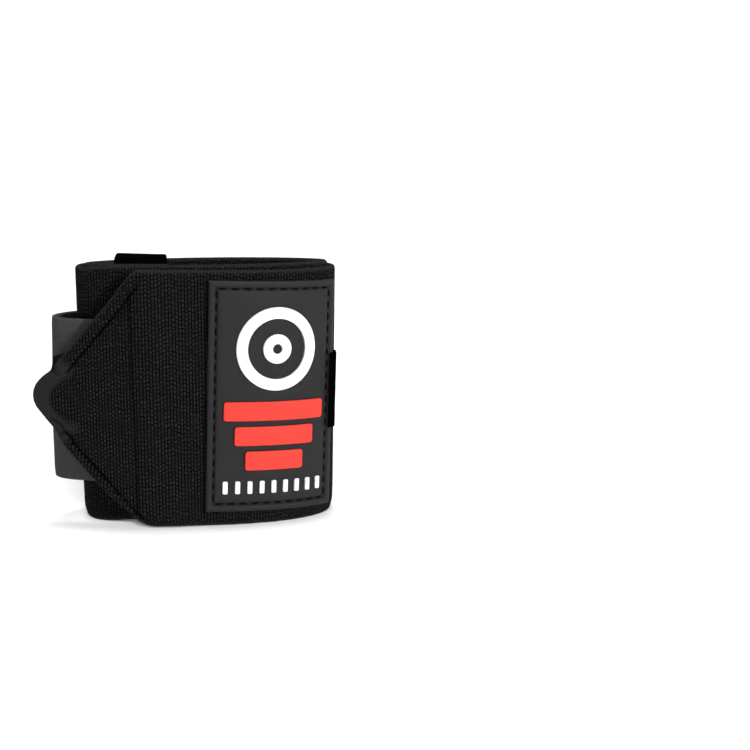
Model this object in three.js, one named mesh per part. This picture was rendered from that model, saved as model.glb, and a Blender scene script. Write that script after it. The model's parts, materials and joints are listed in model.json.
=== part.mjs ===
// An elastic wrist wrap, rolled up on itself and standing on its lower edge.
// Millimetres, Z up, the front faces -Y. Seen from above, the band starts at its pointed outer end at the
// front left and runs round the front, the right bend, the back and the left bend, then inwards.
import * as THREE from 'three';
import { mergeVertices } from 'three/addons/utils/BufferGeometryUtils.js';

const { degToRad, lerp, smoothstep } = THREE.MathUtils;
const up = new THREE.Vector3(0, 0, 1);

// The roll: an ellipse seen from above, a little smaller at the bottom, its lowest edge tucked in, and its
// top leaning to the left
const rollWidth = 81.5;
const rollDepth = 40.6;
const bottomTaper = 0.023;
const bottomTuck = 0.03;
const tuckHeight = 6;
const topLean = 1;

// The elastic band
const bandWidth = 80;
const bandThickness = 2;
const layerGap = 0.5;
const innerLift = 1.1;
const innerTilt = 0.7;
const innerTiltDegrees = 300;
const seamRaise = 0.5;
const seatedFromDegrees = -40;
const seamDegrees = -123;
const innerEndDegrees = 609.5;
const stepInFrom = 190;
const stepInTo = 236;
const fullTurn = 360;

// The pointed end: both corners folded in behind, so it is two plies thick
const flapLength = 36.2;
const flapThickness = 3.8;
const flapDroop = 1.1;
const flapBendRadius = 400;
const tipRadius = 6.7;
const tipLift = 1;
const tipLiftFrom = 3;
const tipLiftUntil = 9;
const riseUntilDegrees = -92;
const upperFoldWidth = 4.1;
const lowerFoldWidth = 2.9;
const foldBulge = 0.8;
const foldsFrom = 6.5;
const foldsFullFrom = 9.5;
const grooveDepth = 0.5;
const groovePastFold = 2.5;

// How far its edges bulge past straight lines, measured upright
const bowFrom = 7;
const bowFullFrom = 13;
const upperBow = 0.4;
const upperCornerBow = 0.8;
const upperCornerFrom = 27;
const upperCornerFullFrom = 32;
const lowerBow = 2.1;
const lowerBowUntil = 24;
const lowerBowGoneFrom = 34;
const lowerCornerCut = 0.7;

// The hook tape behind the pointed end
const tapeWidth = 50.8;
const tapeThickness = 1.2;
const tapeCentreHeight = 39;
const tapeOnFlap = 17;
const tapeLeavesDegrees = 118;
const tapeEndDegrees = 14;
const tapeBulge = 7.8;
const bulgeDepth = -0.5;
const bulgeHandle = 9;
const backHandle = 14;
const flapHandle = 7;

// The label on the front, moulded with a raised border
const labelWidth = 43.2;
const labelHeight = 72;
const labelFromSeam = 20.7;
const labelBottom = 4.6;
const labelTiltDegrees = 1.7;
const labelThickness = 0.9;
const borderHeight = 0.6;
const borderWidth = 2.3;
const borderBevel = 0.4;

// The raised artwork on the label, stacked from below: a row of ticks, bars and a weight plate
const artThickness = 0.5;
const artMargin = 3.4;
const artGap = 3.4;
const tickWidth = 1.6;
const tickHeight = 4;
const tickCount = 9;
const tickPitch = 3.9;
const barHeight = 6;
const barGap = 1.8;
const barLengths = [19, 26, 33];
const plateRadius = 13;
const plateRimWidth = 3.6;
const hubRadius = 4.6;
const hubHoleRadius = 1.5;

// The small tag over the label's right edge
const tagHeight = 24;
const tagBottom = 29.5;
const tagThickness = 0.5;
const tagOnLabel = 2.3;
const tagPastLabel = 5;
const tagDownBy = 3;

// The thumb loop, folded over the rim into the hollow
const loopWidth = 16.5;
const loopThickness = 1.3;
const loopFromEnd = 1;
const loopTop = 2.5;
const loopSewnLength = 18;
const innerFoldRadius = 1.2;
const eyeLength = 22;
const eyeWidth = 8.6;
const loopReach = 40;

// Air left between two pieces that touch
const clearance = 0.3;

// The pointed end stands out by what lies under it: its second ply and the tape
const flapRise = flapThickness - bandThickness + tapeThickness + 2 * clearance - layerGap;

// Steps of the meshes, and how near two corners are one
const degreesPerColumn = 4.5;
const flapColumns = 9;
const tipColumns = 5;
const tapeColumnLength = 2.2;
const labelColumnLength = 3;
const tagColumns = 9;
const plainRows = 4;
const ringSides = 32;
const foldSteps = 8;
const eyeSteps = 18;
const rowsClosingUp = 1.2;
const curveLengthSteps = 1200;
const sameCorner = 1e-5;

// A line seen from above that runs round the roll, at a distance outside the ellipse that may change
class RollCurve extends THREE.Curve {
  constructor(fromDegrees, toDegrees, outsideAt) {
    super();
    this.fromDegrees = fromDegrees;
    this.toDegrees = toDegrees;
    this.outsideAt = outsideAt;
    this.arcLengthDivisions = curveLengthSteps;
  }

  getPoint(share, target = new THREE.Vector3()) {
    const degrees = lerp(this.fromDegrees, this.toDegrees, share);
    const x = Math.cos(degToRad(degrees));
    const y = Math.sin(degToRad(degrees));
    const outward = new THREE.Vector3(rollDepth * x, rollWidth * y, 0).normalize();
    target.set(rollWidth / 2 * x, rollDepth / 2 * y, 0);
    return target.addScaledVector(outward, this.outsideAt(degrees));
  }
}

// The place on a plan curve and the directions there: along it and outwards
function frameOn(curve, share) {
  const along = curve.getTangent(share);
  return { point: curve.getPoint(share), along, outward: along.clone().cross(up) };
}

function frameAtLength(curve, length) {
  return frameOn(curve, curve.getUtoTmapping(0, length));
}

// A place on a plan frame, moved outwards and raised, with the roll's taper, tuck and lean
function stand(frame, outside, height) {
  const place = frame.point.clone().addScaledVector(frame.outward, outside);
  const tuck = Math.max(0, 1 - height / tuckHeight) ** 2;
  const narrowing = 1 - bottomTaper * (1 - height / bandWidth) - bottomTuck * tuck;
  place.multiplyScalar(narrowing);
  place.x -= topLean * height / bandWidth;
  return place.setZ(height);
}

// A closed sheet: a box of columns and rows whose corners are put where place(column, row, face) says,
// with face 0 on the inner side and 1 on the outer side
function sheetGeometry(columns, rows, place) {
  const geometry = new THREE.BoxGeometry(columns, rows, 1, columns, rows, 1);
  geometry.deleteAttribute('normal');
  geometry.deleteAttribute('uv');
  const corners = geometry.attributes.position;
  for (let index = 0; index < corners.count; index += 1) {
    const column = Math.round(corners.getX(index) + columns / 2);
    const row = Math.round(corners.getY(index) + rows / 2);
    const face = Math.round(corners.getZ(index) + 0.5);
    const spot = place(column, row, face);
    corners.setXYZ(index, spot.x, spot.y, spot.z);
  }
  return finished(geometry);
}

function finished(geometry) {
  const merged = mergeVertices(geometry, sameCorner);
  merged.computeVertexNormals();
  return merged;
}

function cloth(color, roughness) {
  return new THREE.MeshStandardMaterial({ color, roughness, metalness: 0 });
}

function piece(name, geometry, material) {
  const mesh = new THREE.Mesh(geometry, material);
  mesh.name = name;
  return mesh;
}

// How far the middle of the band lies outside the ellipse
function bandOutside(degrees) {
  const pitch = bandThickness + layerGap;
  const firstStep = smoothstep(degrees, stepInFrom, stepInTo);
  const secondStep = smoothstep(degrees - fullTurn, stepInFrom, stepInTo);
  const rise = flapRise * (1 - smoothstep(degrees, seamDegrees, riseUntilDegrees));
  return -bandThickness / 2 - pitch * (firstStep + secondStep) + rise;
}

// How high the middle of the band runs: raised at the seam, and lifted and tilted on the inner turn
function bandCentre(degrees) {
  const raised = seamRaise * (1 - smoothstep(degrees, seamDegrees, seatedFromDegrees));
  const lifted = innerLift + innerTilt * Math.cos(degToRad(degrees - innerTiltDegrees));
  return bandWidth / 2 + raised + lifted * smoothstep(degrees, stepInFrom, stepInTo);
}

const bandCurve = new RollCurve(seamDegrees, innerEndDegrees, bandOutside);

// The pointed end leaves the roll along its tangent and bends less than the roll does
function flapFrame(fromSeam) {
  const seam = frameOn(bandCurve, 0);
  const turn = fromSeam / flapBendRadius;
  const point = seam.point.clone();
  point.addScaledVector(seam.along, -flapBendRadius * Math.sin(turn));
  point.addScaledVector(seam.outward, -flapBendRadius * (1 - Math.cos(turn)));
  const outward = seam.outward.clone().multiplyScalar(Math.cos(turn));
  outward.addScaledVector(seam.along, -Math.sin(turn));
  return { point, along: up.clone().cross(outward), outward };
}

// Half the height of the pointed end at a distance from where its two edges would meet
const foldAngle = Math.atan2(bandWidth / 2, flapLength);
const tipSet = tipRadius / Math.sin(foldAngle);
const tipTangent = tipSet - tipRadius * Math.sin(foldAngle);

function flapHalfHeight(fromPoint) {
  if (fromPoint >= tipTangent) {
    return fromPoint * Math.tan(foldAngle);
  }
  return Math.sqrt(Math.max(0, tipRadius ** 2 - (tipSet - fromPoint) ** 2));
}

function upperBowAt(fromPoint) {
  const corner = upperCornerBow * smoothstep(fromPoint, upperCornerFrom, upperCornerFullFrom);
  return upperBow * smoothstep(fromPoint, bowFrom, bowFullFrom) + corner;
}

function lowerBowAt(fromPoint) {
  const gone = smoothstep(fromPoint, lowerBowUntil, lowerBowGoneFrom);
  return lowerBow * smoothstep(fromPoint, bowFrom, bowFullFrom) * (1 - gone);
}

// Columns of the band, each with its plan frame and what the sheet measures there
function bandColumns() {
  const columns = [];
  const addFlap = (fromPoint) => {
    const fromSeam = flapLength - fromPoint;
    const lift = tipLift * (1 - smoothstep(fromPoint, tipLiftFrom, tipLiftUntil));
    const halfHeight = flapHalfHeight(fromPoint);
    columns.push({
      ...flapFrame(fromSeam),
      upperHeight: halfHeight + upperBowAt(fromPoint),
      lowerHeight: halfHeight + lowerBowAt(fromPoint),
      centre: bandCentre(seamDegrees) - flapDroop * fromSeam / flapLength + lift,
      fold: smoothstep(fromPoint, foldsFrom, foldsFullFrom),
      thickness: flapThickness,
    });
  };
  for (let step = 1; step <= tipColumns; step += 1) {
    addFlap(tipSet - tipRadius * Math.cos((Math.PI / 2 - foldAngle) * step / tipColumns));
  }
  for (let step = 1; step < flapColumns; step += 1) {
    addFlap(lerp(tipTangent, flapLength, step / flapColumns));
  }
  const turnColumns = Math.round((innerEndDegrees - seamDegrees) / degreesPerColumn);
  for (let step = 0; step <= turnColumns; step += 1) {
    const degrees = lerp(seamDegrees, innerEndDegrees, step / turnColumns);
    const flat = smoothstep(degrees, seamDegrees, riseUntilDegrees);
    columns.push({
      ...frameOn(bandCurve, step / turnColumns),
      upperHeight: bandWidth / 2,
      lowerHeight: bandWidth / 2 - (step === 0 ? lowerCornerCut : 0),
      centre: bandCentre(degrees),
      fold: step === 0 ? 1 : 0,
      thickness: lerp(flapThickness, bandThickness, flat),
    });
  }
  return columns;
}

// Rows of one half of the band: measured upright from its edge, with the outer face's height on the fold
function halfRows(foldWidth) {
  const foldHeight = foldWidth / Math.cos(foldAngle);
  return [
    { fromEdge: 0, proud: 0 },
    { fromEdge: foldHeight / 2, proud: foldBulge },
    { fromEdge: foldHeight, proud: -grooveDepth },
    { fromEdge: foldHeight + groovePastFold, proud: 0 },
  ];
}

const upperRows = halfRows(upperFoldWidth);
const lowerRows = halfRows(lowerFoldWidth);

// A row's height over or under the middle; near the tip the rows close up, short of the middle
function fromMiddle(halfHeight, halfBand, row) {
  const flatFrom = halfBand[halfBand.length - 1].fromEdge;
  const squeeze = Math.min(1, halfHeight / (rowsClosingUp * flatFrom));
  return halfHeight - halfBand[row].fromEdge * squeeze;
}

function elasticBand() {
  const columns = bandColumns();
  const halfCount = upperRows.length;
  const rows = 2 * halfCount;
  const place = (column, row, face) => {
    const spot = columns[column];
    let height = spot.centre;
    let proud = 0;
    if (row < halfCount) {
      height -= fromMiddle(spot.lowerHeight, lowerRows, row);
      proud = lowerRows[row].proud * spot.fold;
    } else if (row > halfCount) {
      height += fromMiddle(spot.upperHeight, upperRows, rows - row);
      proud = upperRows[rows - row].proud * spot.fold;
    }
    const outerFace = bandThickness / 2;
    const outside = face === 1 ? outerFace + proud : outerFace - spot.thickness;
    return stand(spot, outside, height);
  };
  return piece('elastic_band', sheetGeometry(columns.length - 1, rows, place), cloth(0x1b1b1c, 0.95));
}

// The tape's middle line seen from above: on the outer turn along the back, loose round the left bend, then
// behind the pointed end
function tapeLine() {
  const onBack = new RollCurve(tapeEndDegrees, tapeLeavesDegrees, () => clearance + tapeThickness / 2);
  const leaving = frameOn(onBack, 1);
  const farLeft = new THREE.Vector3(-rollWidth / 2 - tapeBulge, bulgeDepth, 0);
  const behindFlap = bandThickness / 2 - flapThickness - clearance - tapeThickness / 2;
  const joining = flapFrame(tapeOnFlap);
  const joinPoint = joining.point.clone().addScaledVector(joining.outward, behindFlap);
  const root = flapFrame(0);
  const rootPoint = root.point.clone().addScaledVector(root.outward, behindFlap);
  const line = new THREE.CurvePath();
  line.add(onBack);
  line.add(new THREE.CubicBezierCurve3(
    leaving.point,
    leaving.point.clone().addScaledVector(leaving.along, backHandle),
    farLeft.clone().setY(bulgeDepth + bulgeHandle),
    farLeft,
  ));
  line.add(new THREE.CubicBezierCurve3(
    farLeft,
    farLeft.clone().setY(bulgeDepth - bulgeHandle / 2),
    joinPoint.clone().addScaledVector(joining.along, -flapHandle),
    joinPoint,
  ));
  line.add(new THREE.LineCurve3(joinPoint, rootPoint));
  return line;
}

function hookTape() {
  const line = tapeLine();
  const columns = Math.round(line.getLength() / tapeColumnLength);
  const place = (column, row, face) => {
    const height = tapeCentreHeight + tapeWidth * (row / plainRows - 0.5);
    return stand(frameOn(line, column / columns), tapeThickness * (face - 0.5), height);
  };
  return piece('hook_tape', sheetGeometry(columns, plainRows, place), cloth(0x3a3a3b, 0.9));
}

// The outer face of the outer turn as far as the middle of the back, which carries the label
const frontEndDegrees = 90;
const outerFace = (degrees) => bandOutside(degrees) + bandThickness / 2;
const frontCurve = new RollCurve(seamDegrees, frontEndDegrees, outerFace);

// A spot over the label: along it from its left edge, up from its lower edge, and out from the band
function onLabel(along, upwards, outside) {
  const tilt = degToRad(-labelTiltDegrees);
  const fromMiddle = new THREE.Vector2(along - labelWidth / 2, upwards - labelHeight / 2);
  fromMiddle.rotateAround(new THREE.Vector2(), tilt);
  const length = labelFromSeam + labelWidth / 2 + fromMiddle.x;
  const height = labelBottom + labelHeight / 2 + fromMiddle.y;
  return stand(frameAtLength(frontCurve, length), clearance + outside, height);
}

// Grid lines of the label along one side: close ones at the border, even ones between
function labelLines(side) {
  const near = [0, borderBevel, borderWidth - borderBevel, borderWidth];
  const between = Math.ceil((side - 2 * borderWidth) / labelColumnLength);
  const lines = [...near];
  for (let step = 1; step < between; step += 1) {
    lines.push(lerp(borderWidth, side - borderWidth, step / between));
  }
  return [...lines, ...near.map((line) => side - line).reverse()];
}

function labelPatch() {
  const alongLines = labelLines(labelWidth);
  const upLines = labelLines(labelHeight);
  const place = (column, row, face) => {
    const along = alongLines[column];
    const upwards = upLines[row];
    const fromEdge = Math.min(along, labelWidth - along, upwards, labelHeight - upwards);
    const outerSlope = smoothstep(fromEdge, -borderBevel, borderBevel);
    const innerSlope = 1 - smoothstep(fromEdge, borderWidth - borderBevel, borderWidth);
    return onLabel(along, upwards, face * (labelThickness + borderHeight * outerSlope * innerSlope));
  };
  const geometry = sheetGeometry(alongLines.length - 1, upLines.length - 1, place);
  return piece('label_patch', geometry, cloth(0x353535, 0.6));
}

// A flat solid, drawn on the label's plane with its underside at 0, laid over the curved label
function laidOnLabel(name, geometry, color) {
  const corners = geometry.attributes.position;
  for (let index = 0; index < corners.count; index += 1) {
    const outside = labelThickness + clearance + corners.getZ(index);
    const spot = onLabel(corners.getX(index), corners.getY(index), outside);
    corners.setXYZ(index, spot.x, spot.y, spot.z);
  }
  return piece(name, finished(geometry), cloth(color, 0.55));
}

function withPositionOnly(geometry) {
  geometry.deleteAttribute('normal');
  geometry.deleteAttribute('uv');
  return geometry;
}

function flatBlock(width, height) {
  const columns = Math.ceil(width / labelColumnLength);
  const block = withPositionOnly(new THREE.BoxGeometry(width, height, artThickness, columns, 1, 1));
  return block.translate(0, 0, artThickness / 2);
}

function flatRing(innerRadius, outerRadius) {
  const profile = [
    new THREE.Vector2(innerRadius, 0),
    new THREE.Vector2(outerRadius, 0),
    new THREE.Vector2(outerRadius, artThickness),
    new THREE.Vector2(innerRadius, artThickness),
    new THREE.Vector2(innerRadius, 0),
  ];
  const ring = withPositionOnly(new THREE.LatheGeometry(profile, ringSides));
  return ring.rotateX(Math.PI / 2);
}

function labelArtwork() {
  const middle = labelWidth / 2;
  const white = 0xf2f2f2;
  const red = 0xe94e45;
  const pieces = [];
  let bottom = borderWidth + artMargin;
  for (let index = 0; index < tickCount; index += 1) {
    const along = middle + tickPitch * (index - (tickCount - 1) / 2);
    const block = flatBlock(tickWidth, tickHeight).translate(along, bottom + tickHeight / 2, 0);
    pieces.push(laidOnLabel(`label_tick_${index + 1}`, block, white));
  }
  bottom += tickHeight + artGap;
  barLengths.forEach((length, index) => {
    const block = flatBlock(length, barHeight).translate(middle, bottom + barHeight / 2, 0);
    pieces.push(laidOnLabel(`label_bar_${index + 1}`, block, red));
    bottom += barHeight + barGap;
  });
  const plateHeight = bottom - barGap + artGap + plateRadius;
  const rim = flatRing(plateRadius - plateRimWidth, plateRadius).translate(middle, plateHeight, 0);
  const hub = flatRing(hubHoleRadius, hubRadius).translate(middle, plateHeight, 0);
  pieces.push(laidOnLabel('label_plate_rim', rim, white));
  pieces.push(laidOnLabel('label_plate_hub', hub, white));
  return pieces;
}

// The tag lies on the label's right border and bends down to the band beyond it
function sideTag() {
  const onBorder = clearance + labelThickness + borderHeight;
  const place = (column, row, face) => {
    const pastEdge = lerp(-tagOnLabel, tagPastLabel, column / tagColumns);
    const upwards = tagBottom - labelBottom + tagHeight * row / plainRows;
    const down = smoothstep(pastEdge, clearance, tagDownBy);
    return onLabel(labelWidth + pastEdge, upwards, lerp(onBorder, 0, down) + tagThickness * face);
  };
  return piece('side_tag', sheetGeometry(tagColumns, plainRows, place), cloth(0x060606, 0.9));
}

// The loop's middle line in the upright plane across the band: distance into the hollow, and height
function loopLine() {
  const outerFoldRadius = innerFoldRadius + loopThickness + clearance;
  const firstPly = clearance + loopThickness / 2;
  const foldCentre = firstPly + outerFoldRadius;
  const rim = bandCentre(innerEndDegrees) + bandWidth / 2;
  const foldTop = rim + loopTop - outerFoldRadius - loopThickness / 2;
  const eyeTop = foldTop - loopReach + eyeLength;
  const points = [];
  const add = (inwards, height) => points.push(new THREE.Vector2(inwards, height));
  const arc = (radius, from, to, steps) => {
    for (let step = 0; step <= steps; step += 1) {
      const angle = lerp(from, to, step / steps);
      add(foldCentre + radius * Math.cos(angle), foldTop + radius * Math.sin(angle));
    }
  };
  add(foldCentre - outerFoldRadius, foldTop - loopSewnLength);
  arc(outerFoldRadius, Math.PI, 0, foldSteps);
  const eyeCentre = foldCentre + (outerFoldRadius + innerFoldRadius) / 2;
  const neck = (outerFoldRadius - innerFoldRadius) / 2;
  for (let step = 0; step <= eyeSteps; step += 1) {
    const turn = Math.PI * step / eyeSteps;
    const sideways = neck * Math.cos(turn) + eyeWidth / 2 * Math.sin(2 * turn);
    add(eyeCentre + sideways, eyeTop - eyeLength * Math.sin(turn));
  }
  arc(innerFoldRadius, 0, Math.PI, foldSteps);
  add(foldCentre - innerFoldRadius, foldTop - loopSewnLength);
  return points;
}

function thumbLoop() {
  const line = loopLine();
  const middleLength = bandCurve.getLength() - loopFromEnd - loopWidth / 2;
  const columns = line.length - 1;
  const place = (column, row, face) => {
    const before = line[Math.max(0, column - 1)];
    const after = line[Math.min(columns, column + 1)];
    const across = new THREE.Vector2(before.y - after.y, after.x - before.x).normalize();
    const spot = line[column].clone().addScaledVector(across, loopThickness * (face - 0.5));
    const along = loopWidth * (0.5 - row / plainRows);
    const sewn = frameAtLength(bandCurve, middleLength + along);
    return stand(sewn, -bandThickness / 2 - spot.x, spot.y);
  };
  return piece('thumb_loop', sheetGeometry(columns, plainRows, place), cloth(0x050505, 0.9));
}

const model = new THREE.Group();
model.add(elasticBand());
model.add(hookTape());
model.add(labelPatch());
model.add(...labelArtwork());
model.add(sideTag());
model.add(thumbLoop());

// The origin is under the middle of the whole, on the surface that it stands on
const box = new THREE.Box3().setFromObject(model);
const middle = box.getCenter(new THREE.Vector3());
const wristWrap = new THREE.Group();
model.position.set(-middle.x, -middle.y, -box.min.z);
wristWrap.add(model);

export default wristWrap;
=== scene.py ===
import json
import math

import bpy
import numpy as np
from mathutils import Matrix, Vector

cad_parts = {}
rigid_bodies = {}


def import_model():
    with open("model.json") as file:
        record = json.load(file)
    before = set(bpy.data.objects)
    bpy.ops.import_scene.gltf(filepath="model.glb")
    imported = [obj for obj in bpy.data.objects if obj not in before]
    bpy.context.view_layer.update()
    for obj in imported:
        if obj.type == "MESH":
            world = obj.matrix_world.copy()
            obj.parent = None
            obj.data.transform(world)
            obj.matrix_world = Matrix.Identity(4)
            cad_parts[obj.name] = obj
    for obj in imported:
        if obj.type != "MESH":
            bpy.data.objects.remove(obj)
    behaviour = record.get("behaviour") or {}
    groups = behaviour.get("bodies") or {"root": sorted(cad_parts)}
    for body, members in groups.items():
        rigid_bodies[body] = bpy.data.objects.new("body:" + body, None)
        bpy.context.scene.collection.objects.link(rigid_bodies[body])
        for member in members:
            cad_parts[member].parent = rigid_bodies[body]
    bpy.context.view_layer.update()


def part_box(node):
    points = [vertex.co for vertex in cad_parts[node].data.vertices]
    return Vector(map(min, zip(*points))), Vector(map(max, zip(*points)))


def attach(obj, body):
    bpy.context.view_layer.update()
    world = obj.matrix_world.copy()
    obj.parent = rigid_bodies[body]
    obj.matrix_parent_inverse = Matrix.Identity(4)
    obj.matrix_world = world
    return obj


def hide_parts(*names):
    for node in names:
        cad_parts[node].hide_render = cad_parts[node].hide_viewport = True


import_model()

MM = 0.001
BODY = "root"

# The roll, seen from above an ellipse, a little smaller at the bottom
ROLL_WIDTH = 81.5
ROLL_DEPTH = 40.6
BOTTOM_TAPER = 0.023
BOTTOM_TUCK = 0.03
TUCK_HEIGHT = 6.0
TOP_LEAN = 1.0

# The elastic band
BAND_WIDTH = 80.0
BAND_THICKNESS = 2.0
LAYER_GAP = 0.5
INNER_LIFT = 1.1
INNER_TILT = 0.7
INNER_TILT_DEGREES = 300.0
SEAM_RAISE = 0.5
SEATED_FROM_DEGREES = -40.0
SEAM_DEGREES = -123.0
INNER_END_DEGREES = 609.5
STEP_IN = (190.0, 236.0)
RISE_UNTIL_DEGREES = -92.0

# The pointed end: both corners are folded in behind, which leaves a welt and a sewn groove along each edge.
# Pairs named ENDS, STARTS or START are where a change begins and is complete, measured from the point;
# lengths of CREASES, SEAM_LINE and LOWER_FOLD_NARROWS are measured from the seam, negative towards the point
FLAP_LENGTH = 36.2
FLAP_THICKNESS = 3.8
FLAP_DROOP = 1.1
FLAP_BEND_RADIUS = 400.0
EDGE_RADIUS = 0.9
THINNEST = 0.14
TIP_RADIUS = 6.7
TIP_REACH = 0.95
TIP_REACH_ENDS = (4.0, 11.0)
TIP_LIFT = 1.0
TIP_LIFT_ENDS = (3.0, 9.0)
BOW_STARTS = (7.0, 13.0)
UPPER_BOW = 0.4
UPPER_CORNER_BOW = 0.8
UPPER_CORNER_ENDS = (27.0, 32.0)
UPPER_CORNER_ROUND = 0.5
LOWER_BOW = 2.1
LOWER_BOW_ENDS = (24.0, 34.0)
LOWER_CORNER_ROUND = 1.0
UPPER_FOLD_WIDTH = 4.1
LOWER_FOLD_WIDTH = 2.95
LOWER_FOLD_LEAST = 1.5
LOWER_FOLD_NARROWS = (-10.0, -1.5)
FOLD_BULGE = 1.3
UPPER_FOLD_START = 9.9
LOWER_FOLD_START = (14.7, 15.3)
GROOVE_DEPTH = 1.0
GROOVE_HALF_WIDTH = 0.27
GROOVE_STARTS = (14.6, 15.6)
GROOVE_PAST_UPPER_FOLD = 0.15
GROOVE_PAST_LOWER_FOLD = 0.1
GROOVES_STOP = (-0.6, 0.3)
WELTS_STOP = (-2.0, 0.4)
CREASE_DEPTH = 0.4
CREASES = (
    (
        (-28.9, -6.0), (-27.3, -6.6), (-26.3, -7.4), (-25.1, -8.5),
        (-24.5, -10.3), (-22.6, -11.2), (-21.6, -12.6),
    ),
    ((-24.5, -10.3), (-26.9, -11.3)),
    ((0.1, 34.4), (-0.5, 36.8)),
)
SHOULDER_ENDS = (7.9, 8.4)
SHOULDER_HEIGHT = 13.2
SHOULDER_SLOPE = 0.26
SHOULDER_SINK = 1.1
SHOULDER_LEAST_HEIGHT = 9.4
SHOULDER_UNTIL_ALONG_FOLD = 20.0
SMOOTH_TONGUE_FROM = -29.0
SMOOTH_TONGUE_SPREAD = 2.9
SMOOTH_TONGUE_STOPS = (16.5, 19.0)
SEAM_LINE = -2.1
SEAM_LEAN = 0.014
SEAM_DEPTH = 0.4
SEAM_HALF_WIDTH = 0.35
SEAM_FROM_EDGE = 4.5
# Painted shade: how far the cloth's colour is taken towards black in the creases, along the seam and on the
# shoulder, where shade falls
CREASE_PAINTED_SHADE = 0.8
SEAM_PAINTED_SHADE = 0.75
SHOULDER_PAINTED_SHADE = 0.85

# The hook tape
TAPE_WIDTH = 50.8
TAPE_THICKNESS = 1.2
TAPE_CENTRE_HEIGHT = 39.0
TAPE_ON_FLAP = 17.0
TAPE_LEAVES_DEGREES = 118.0
TAPE_END_DEGREES = 14.0
TAPE_BULGE = 7.8
BULGE_DEPTH = -0.5
BULGE_HANDLE = 9.0
SELVAGE_DEPTH = 0.12
SELVAGE_ENDS = (1.4, 2.4)
# Sideways shift of the bulge at the lower and the upper height of the pair that follows
TAPE_SWAY = (-0.55, 0.5)
TAPE_SWAY_HEIGHTS = (30.0, 64.0)
TAPE_SWAY_FROM = (25.0, 44.0)
BACK_HANDLE = 14.0
FLAP_HANDLE = 7.0

# The label and its artwork
LABEL_WIDTH = 43.2
LABEL_HEIGHT = 72.0
LABEL_FROM_SEAM = 20.7
LABEL_BOTTOM = 4.6
LABEL_TILT = math.radians(-1.7)
LABEL_THICKNESS = 0.9
BORDER_HEIGHT = 0.6
BORDER_WIDTH = 2.3
LABEL_GROOVE = 0.55
LABEL_GROOVE_WIDTH = 0.9
LABEL_GROOVE_PAST_BORDER = 0.1
LABEL_STITCH = 3.8
LABEL_STITCH_COVER = 0.72
SEAM_STITCH = 2.9
SEAM_STITCH_COVER = 0.66
ART_THICKNESS = 0.5
ART_MARGIN = 3.4
ART_GAP = 3.4
TICK = (1.6, 4.0)
TICK_COUNT = 9
TICK_PITCH = 3.9
BAR_HEIGHT = 6.0
BAR_GAP = 1.8
BAR_LENGTHS = (19.0, 26.0, 33.0)
PLATE_RADIUS = 13.0
PLATE_RIM_WIDTH = 3.6
HUB_RADIUS = 4.6
HUB_HOLE_RADIUS = 1.5

# The side tag
TAG_HEIGHT = 24.0
TAG_BOTTOM = 29.5
TAG_THICKNESS = 0.5
TAG_ON_LABEL = 2.3
TAG_PAST_LABEL = 5.0
TAG_DOWN_BY = 3.0

# The thumb loop
LOOP_WIDTH = 16.5
LOOP_THICKNESS = 1.3
LOOP_FROM_END = 1.0
LOOP_TOP = 2.5
LOOP_SEWN_LENGTH = 18.0
INNER_FOLD_RADIUS = 1.2
EYE_LENGTH = 22.0
EYE_WIDTH = 8.6
LOOP_REACH = 40.0

# Air between touching pieces
CLEARANCE = 0.3
FLAP_RISE = FLAP_THICKNESS - BAND_THICKNESS + TAPE_THICKNESS + 2 * CLEARANCE - LAYER_GAP

# The elastic's weave: ribs across the band, each a row of dashes
RIB_PITCH = 1.0
RIB_HEIGHT = 0.12
COLUMNS_PER_RIB = 3
DASH_LENGTH = 1.3
SCALLOP = 0.14
EDGE_SMOOTHNESS = 0.75
RELIEF_UNTIL = 8.0
STRAIGHT_EDGES_FROM = 12.0


def smooth(value, low, high):
    share = np.clip((np.asarray(value, float) - low) / (high - low), 0, 1)
    return share * share * (3 - 2 * share)


def narrowing(height):
    tuck = np.maximum(0, 1 - height / TUCK_HEIGHT) ** 2
    return 1 - BOTTOM_TAPER * (1 - height / BAND_WIDTH) - BOTTOM_TUCK * tuck


def find_roll_centre():
    """The roll's middle in the frame, from how far the band reaches right and back."""
    heights = np.linspace(0, BAND_WIDTH, 161)
    reach_right = np.max(ROLL_WIDTH / 2 * narrowing(heights) - TOP_LEAN * heights / BAND_WIDTH)
    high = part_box("elastic_band")[1]
    return np.array([high[0] / MM - reach_right, high[1] / MM - ROLL_DEPTH / 2])


ROLL_CENTRE = find_roll_centre()


# Plan lines

def roll_points(degrees, outside):
    angle = np.radians(degrees)
    across = np.stack([np.cos(angle), np.sin(angle)], -1)
    normal = across * [ROLL_DEPTH, ROLL_WIDTH]
    normal /= np.linalg.norm(normal, axis=-1, keepdims=True)
    return across * [ROLL_WIDTH / 2, ROLL_DEPTH / 2] + normal * np.asarray(outside)[..., None]


def band_outside(degrees):
    pitch = BAND_THICKNESS + LAYER_GAP
    steps = smooth(degrees, *STEP_IN) + smooth(np.asarray(degrees) - 360, *STEP_IN)
    rise = FLAP_RISE * (1 - smooth(degrees, SEAM_DEGREES, RISE_UNTIL_DEGREES))
    return -BAND_THICKNESS / 2 - pitch * steps + rise


def band_centre(degrees):
    raised = SEAM_RAISE * (1 - smooth(degrees, SEAM_DEGREES, SEATED_FROM_DEGREES))
    lifted = INNER_LIFT + INNER_TILT * np.cos(np.radians(degrees - INNER_TILT_DEGREES))
    return BAND_WIDTH / 2 + raised + lifted * smooth(degrees, *STEP_IN)


def bezier(start, first, second, end, steps=120):
    share = np.linspace(0, 1, steps)[:, None]
    rest = 1 - share
    return rest**3 * start + 3 * rest**2 * share * first + 3 * rest * share**2 * second + share**3 * end


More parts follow.
